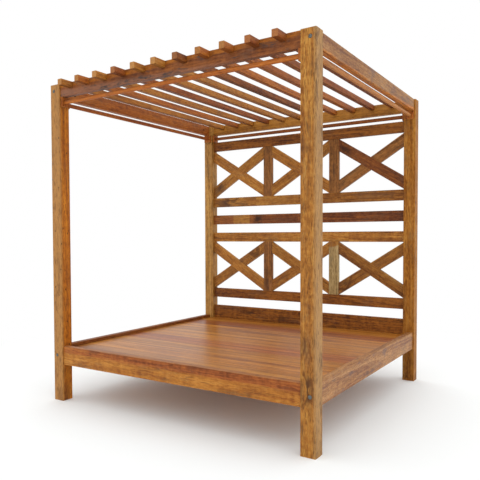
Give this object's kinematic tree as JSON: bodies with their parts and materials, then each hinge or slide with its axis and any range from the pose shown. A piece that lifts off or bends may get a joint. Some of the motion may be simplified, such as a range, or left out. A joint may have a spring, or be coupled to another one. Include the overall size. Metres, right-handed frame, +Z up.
{
  "type": "outdoor daybed with canopy",
  "caption": "Square timber daybed: a boarded platform between four tall posts, with a slatted canopy, round curtain rods and a back panel of rails and crossed braces.",
  "frame": {"origin": "on the floor, under the middle of the frame and of the canopy", "axes": "+X to the right seen from the front, +Y to the back panel, +Z up"},
  "size_m": [1.8, 1.956, 2],
  "materials": {
    "post_timber": "oiled, satin",
    "beam_timber": "oiled, satin",
    "apron_timber": "oiled, satin",
    "slat_timber": "oiled, satin",
    "rod_timber": "oiled, satin",
    "plate_timber": "oiled, satin",
    "deck_timber": "oiled, satin",
    "carrier_timber": "oiled, satin",
    "panel_timber": "oiled, satin",
    "bolt_steel": "zinc plated"
  },
  "bodies": {
    "root": {"post_front_left": "post_timber", "post_front_right": "post_timber", "post_rear_left": "post_timber", "post_rear_right": "post_timber", "beam_front": "beam_timber", "beam_rear": "beam_timber", "beam_left": "beam_timber", "beam_right": "beam_timber", "apron_front": "apron_timber", "apron_left": "apron_timber", "apron_right": "apron_timber", "canopy_slat_01": "slat_timber", "canopy_slat_02": "slat_timber", "canopy_slat_03": "slat_timber", "canopy_slat_04": "slat_timber", "canopy_slat_05": "slat_timber", "canopy_slat_06": "slat_timber", "canopy_slat_07": "slat_timber", "canopy_slat_08": "slat_timber", "canopy_slat_09": "slat_timber", "canopy_slat_10": "slat_timber", "canopy_slat_11": "slat_timber", "curtain_rod_front": "rod_timber", "curtain_rod_rear": "rod_timber", "curtain_rod_left": "rod_timber", "curtain_rod_right": "rod_timber", "rod_plate_front_left": "plate_timber", "rod_plate_front_right": "plate_timber", "rod_plate_rear_left": "plate_timber", "rod_plate_rear_right": "plate_timber", "rod_plate_left_front": "plate_timber", "rod_plate_left_rear": "plate_timber", "rod_plate_right_front": "plate_timber", "rod_plate_right_rear": "plate_timber", "deck_boards": "deck_timber", "deck_ledger_left": "carrier_timber", "deck_ledger_right": "carrier_timber", "deck_bearer": "carrier_timber", "back_bottom_board": "panel_timber", "back_rail_1": "panel_timber", "back_rail_2": "panel_timber", "back_rail_3": "panel_timber", "back_rail_4": "panel_timber", "back_rail_5": "panel_timber", "back_stile_upper_1": "panel_timber", "back_stile_upper_2": "panel_timber", "back_stile_lower_1": "panel_timber", "back_stile_lower_2": "panel_timber", "brace_upper_1_falling": "panel_timber", "brace_upper_1_rising": "panel_timber", "brace_upper_2_falling": "panel_timber", "brace_upper_2_rising": "panel_timber", "brace_upper_3_falling": "panel_timber", "brace_upper_3_rising": "panel_timber", "brace_lower_1_falling": "panel_timber", "brace_lower_1_rising": "panel_timber", "brace_lower_2_falling": "panel_timber", "brace_lower_2_rising": "panel_timber", "brace_lower_3_falling": "panel_timber", "brace_lower_3_rising": "panel_timber"}
  },
  "joints": []
}
